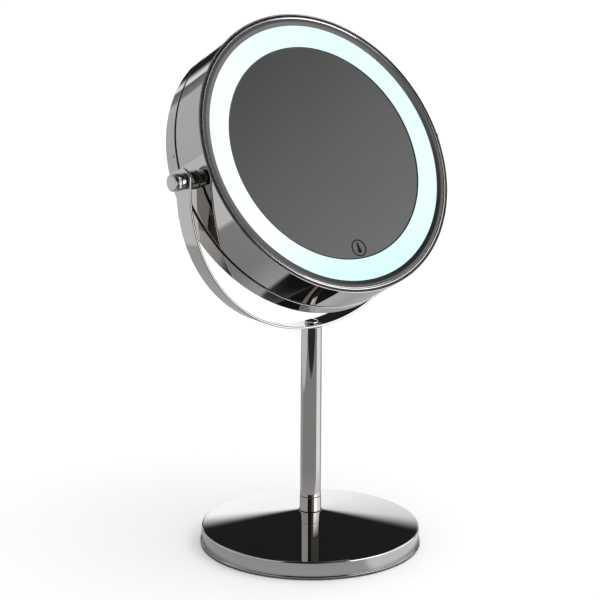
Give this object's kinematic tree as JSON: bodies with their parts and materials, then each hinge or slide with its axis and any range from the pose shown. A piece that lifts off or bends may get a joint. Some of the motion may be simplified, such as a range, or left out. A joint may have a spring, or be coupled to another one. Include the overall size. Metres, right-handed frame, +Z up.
{
  "type": "countertop mirror",
  "caption": "Lit round make-up mirror, a glass on each side of a chrome drum that tilts in a U-shaped yoke on a post and weighted round base.",
  "frame": {"origin": "centre of the round base's underside, on the table, below the pivot axis", "axes": "+Z up along the post, X along the pivot axis, with the knob at -X, the lit mirror faces -Y and is tilted back 30.8 degrees"},
  "size_m": [0.198, 0.1314, 0.3129],
  "materials": {
    "chrome": "polished chrome plate on steel, mid grey reflections",
    "plated_shell": "polished chrome plate on moulded shells",
    "mirror_glass": "silvered mirror glass, reads dark grey in a white room",
    "diffuser": "frosted acrylic light ring, lit cool white with a cyan tint",
    "rubber": "black anti-slip foam rubber",
    "iron": "raw cast disc",
    "zinc": "zinc-plated steel hardware",
    "black_plastic": "black moulded plastic, fine grain",
    "white_plastic": "white moulded plastic",
    "led_board": "white solder mask with yellow lamps",
    "green_board": "green solder mask",
    "copper": "bare copper pad",
    "cell_sleeve": "printed sleeve with a plain bright band, no lettering"
  },
  "bodies": {
    "stand": {"base_pad": "rubber", "base_shell": "chrome", "base_weight": "iron", "base_washer": "zinc", "base_bolt": "zinc", "base_collar": "chrome", "post_tube": "chrome", "post_bottom_insert": "zinc", "post_top_insert": "zinc", "yoke": "chrome", "yoke_screw": "chrome"},
    "head": {"head_shell": "plated_shell", "front_bezel": "plated_shell", "light_ring": "diffuser", "front_mirror": "mirror_glass", "inner_frame": "white_plastic", "led_board": "led_board", "touch_sensor": "copper", "touch_spring": "zinc", "control_board": "green_board", "battery_tray": "black_plastic", "pivot_nut_left": "zinc", "pivot_bush_left": "chrome", "friction_washer_left": "black_plastic", "spring_washer_left": "zinc", "pivot_knob_left": "chrome", "pivot_stud_left": "zinc", "pivot_nut_right": "zinc", "pivot_bush_right": "chrome", "friction_washer_right": "black_plastic", "spring_washer_right": "zinc", "pivot_knob_right": "chrome", "pivot_stud_right": "zinc", "tray_screw_1": "zinc", "battery_cell_1": "cell_sleeve", "contact_spring_1": "zinc", "contact_plate_1": "zinc", "tray_screw_2": "zinc", "battery_cell_2": "cell_sleeve", "contact_spring_2": "zinc", "contact_plate_2": "zinc", "tray_screw_3": "zinc", "battery_cell_3": "cell_sleeve", "contact_spring_3": "zinc", "contact_plate_3": "zinc", "tray_screw_4": "zinc", "battery_cell_4": "cell_sleeve", "contact_spring_4": "zinc", "contact_plate_4": "zinc"},
    "bayonet_ring": {"bayonet_ring": "black_plastic"},
    "rear_cover": {"rear_cover": "plated_shell", "rear_mirror": "mirror_glass", "rear_mirror_backing": "black_plastic"}
  },
  "joints": [
    {"name": "head_tilt", "type": "hinge", "parent": "stand", "child": "head", "pos_m": [0, 0, 0.2321], "axis": [1, 0, 0], "continuous": true},
    {"name": "rear_cover_twist", "type": "hinge", "parent": "head", "child": "bayonet_ring", "pos_m": [0, 0, 0.2321], "axis": [0, 0.859, -0.512], "range_deg": [0, 15]},
    {"name": "rear_cover_lift", "type": "slide", "parent": "bayonet_ring", "child": "rear_cover", "axis": [0, 0.859, -0.512], "range_m": [0, 0.011]}
  ]
}
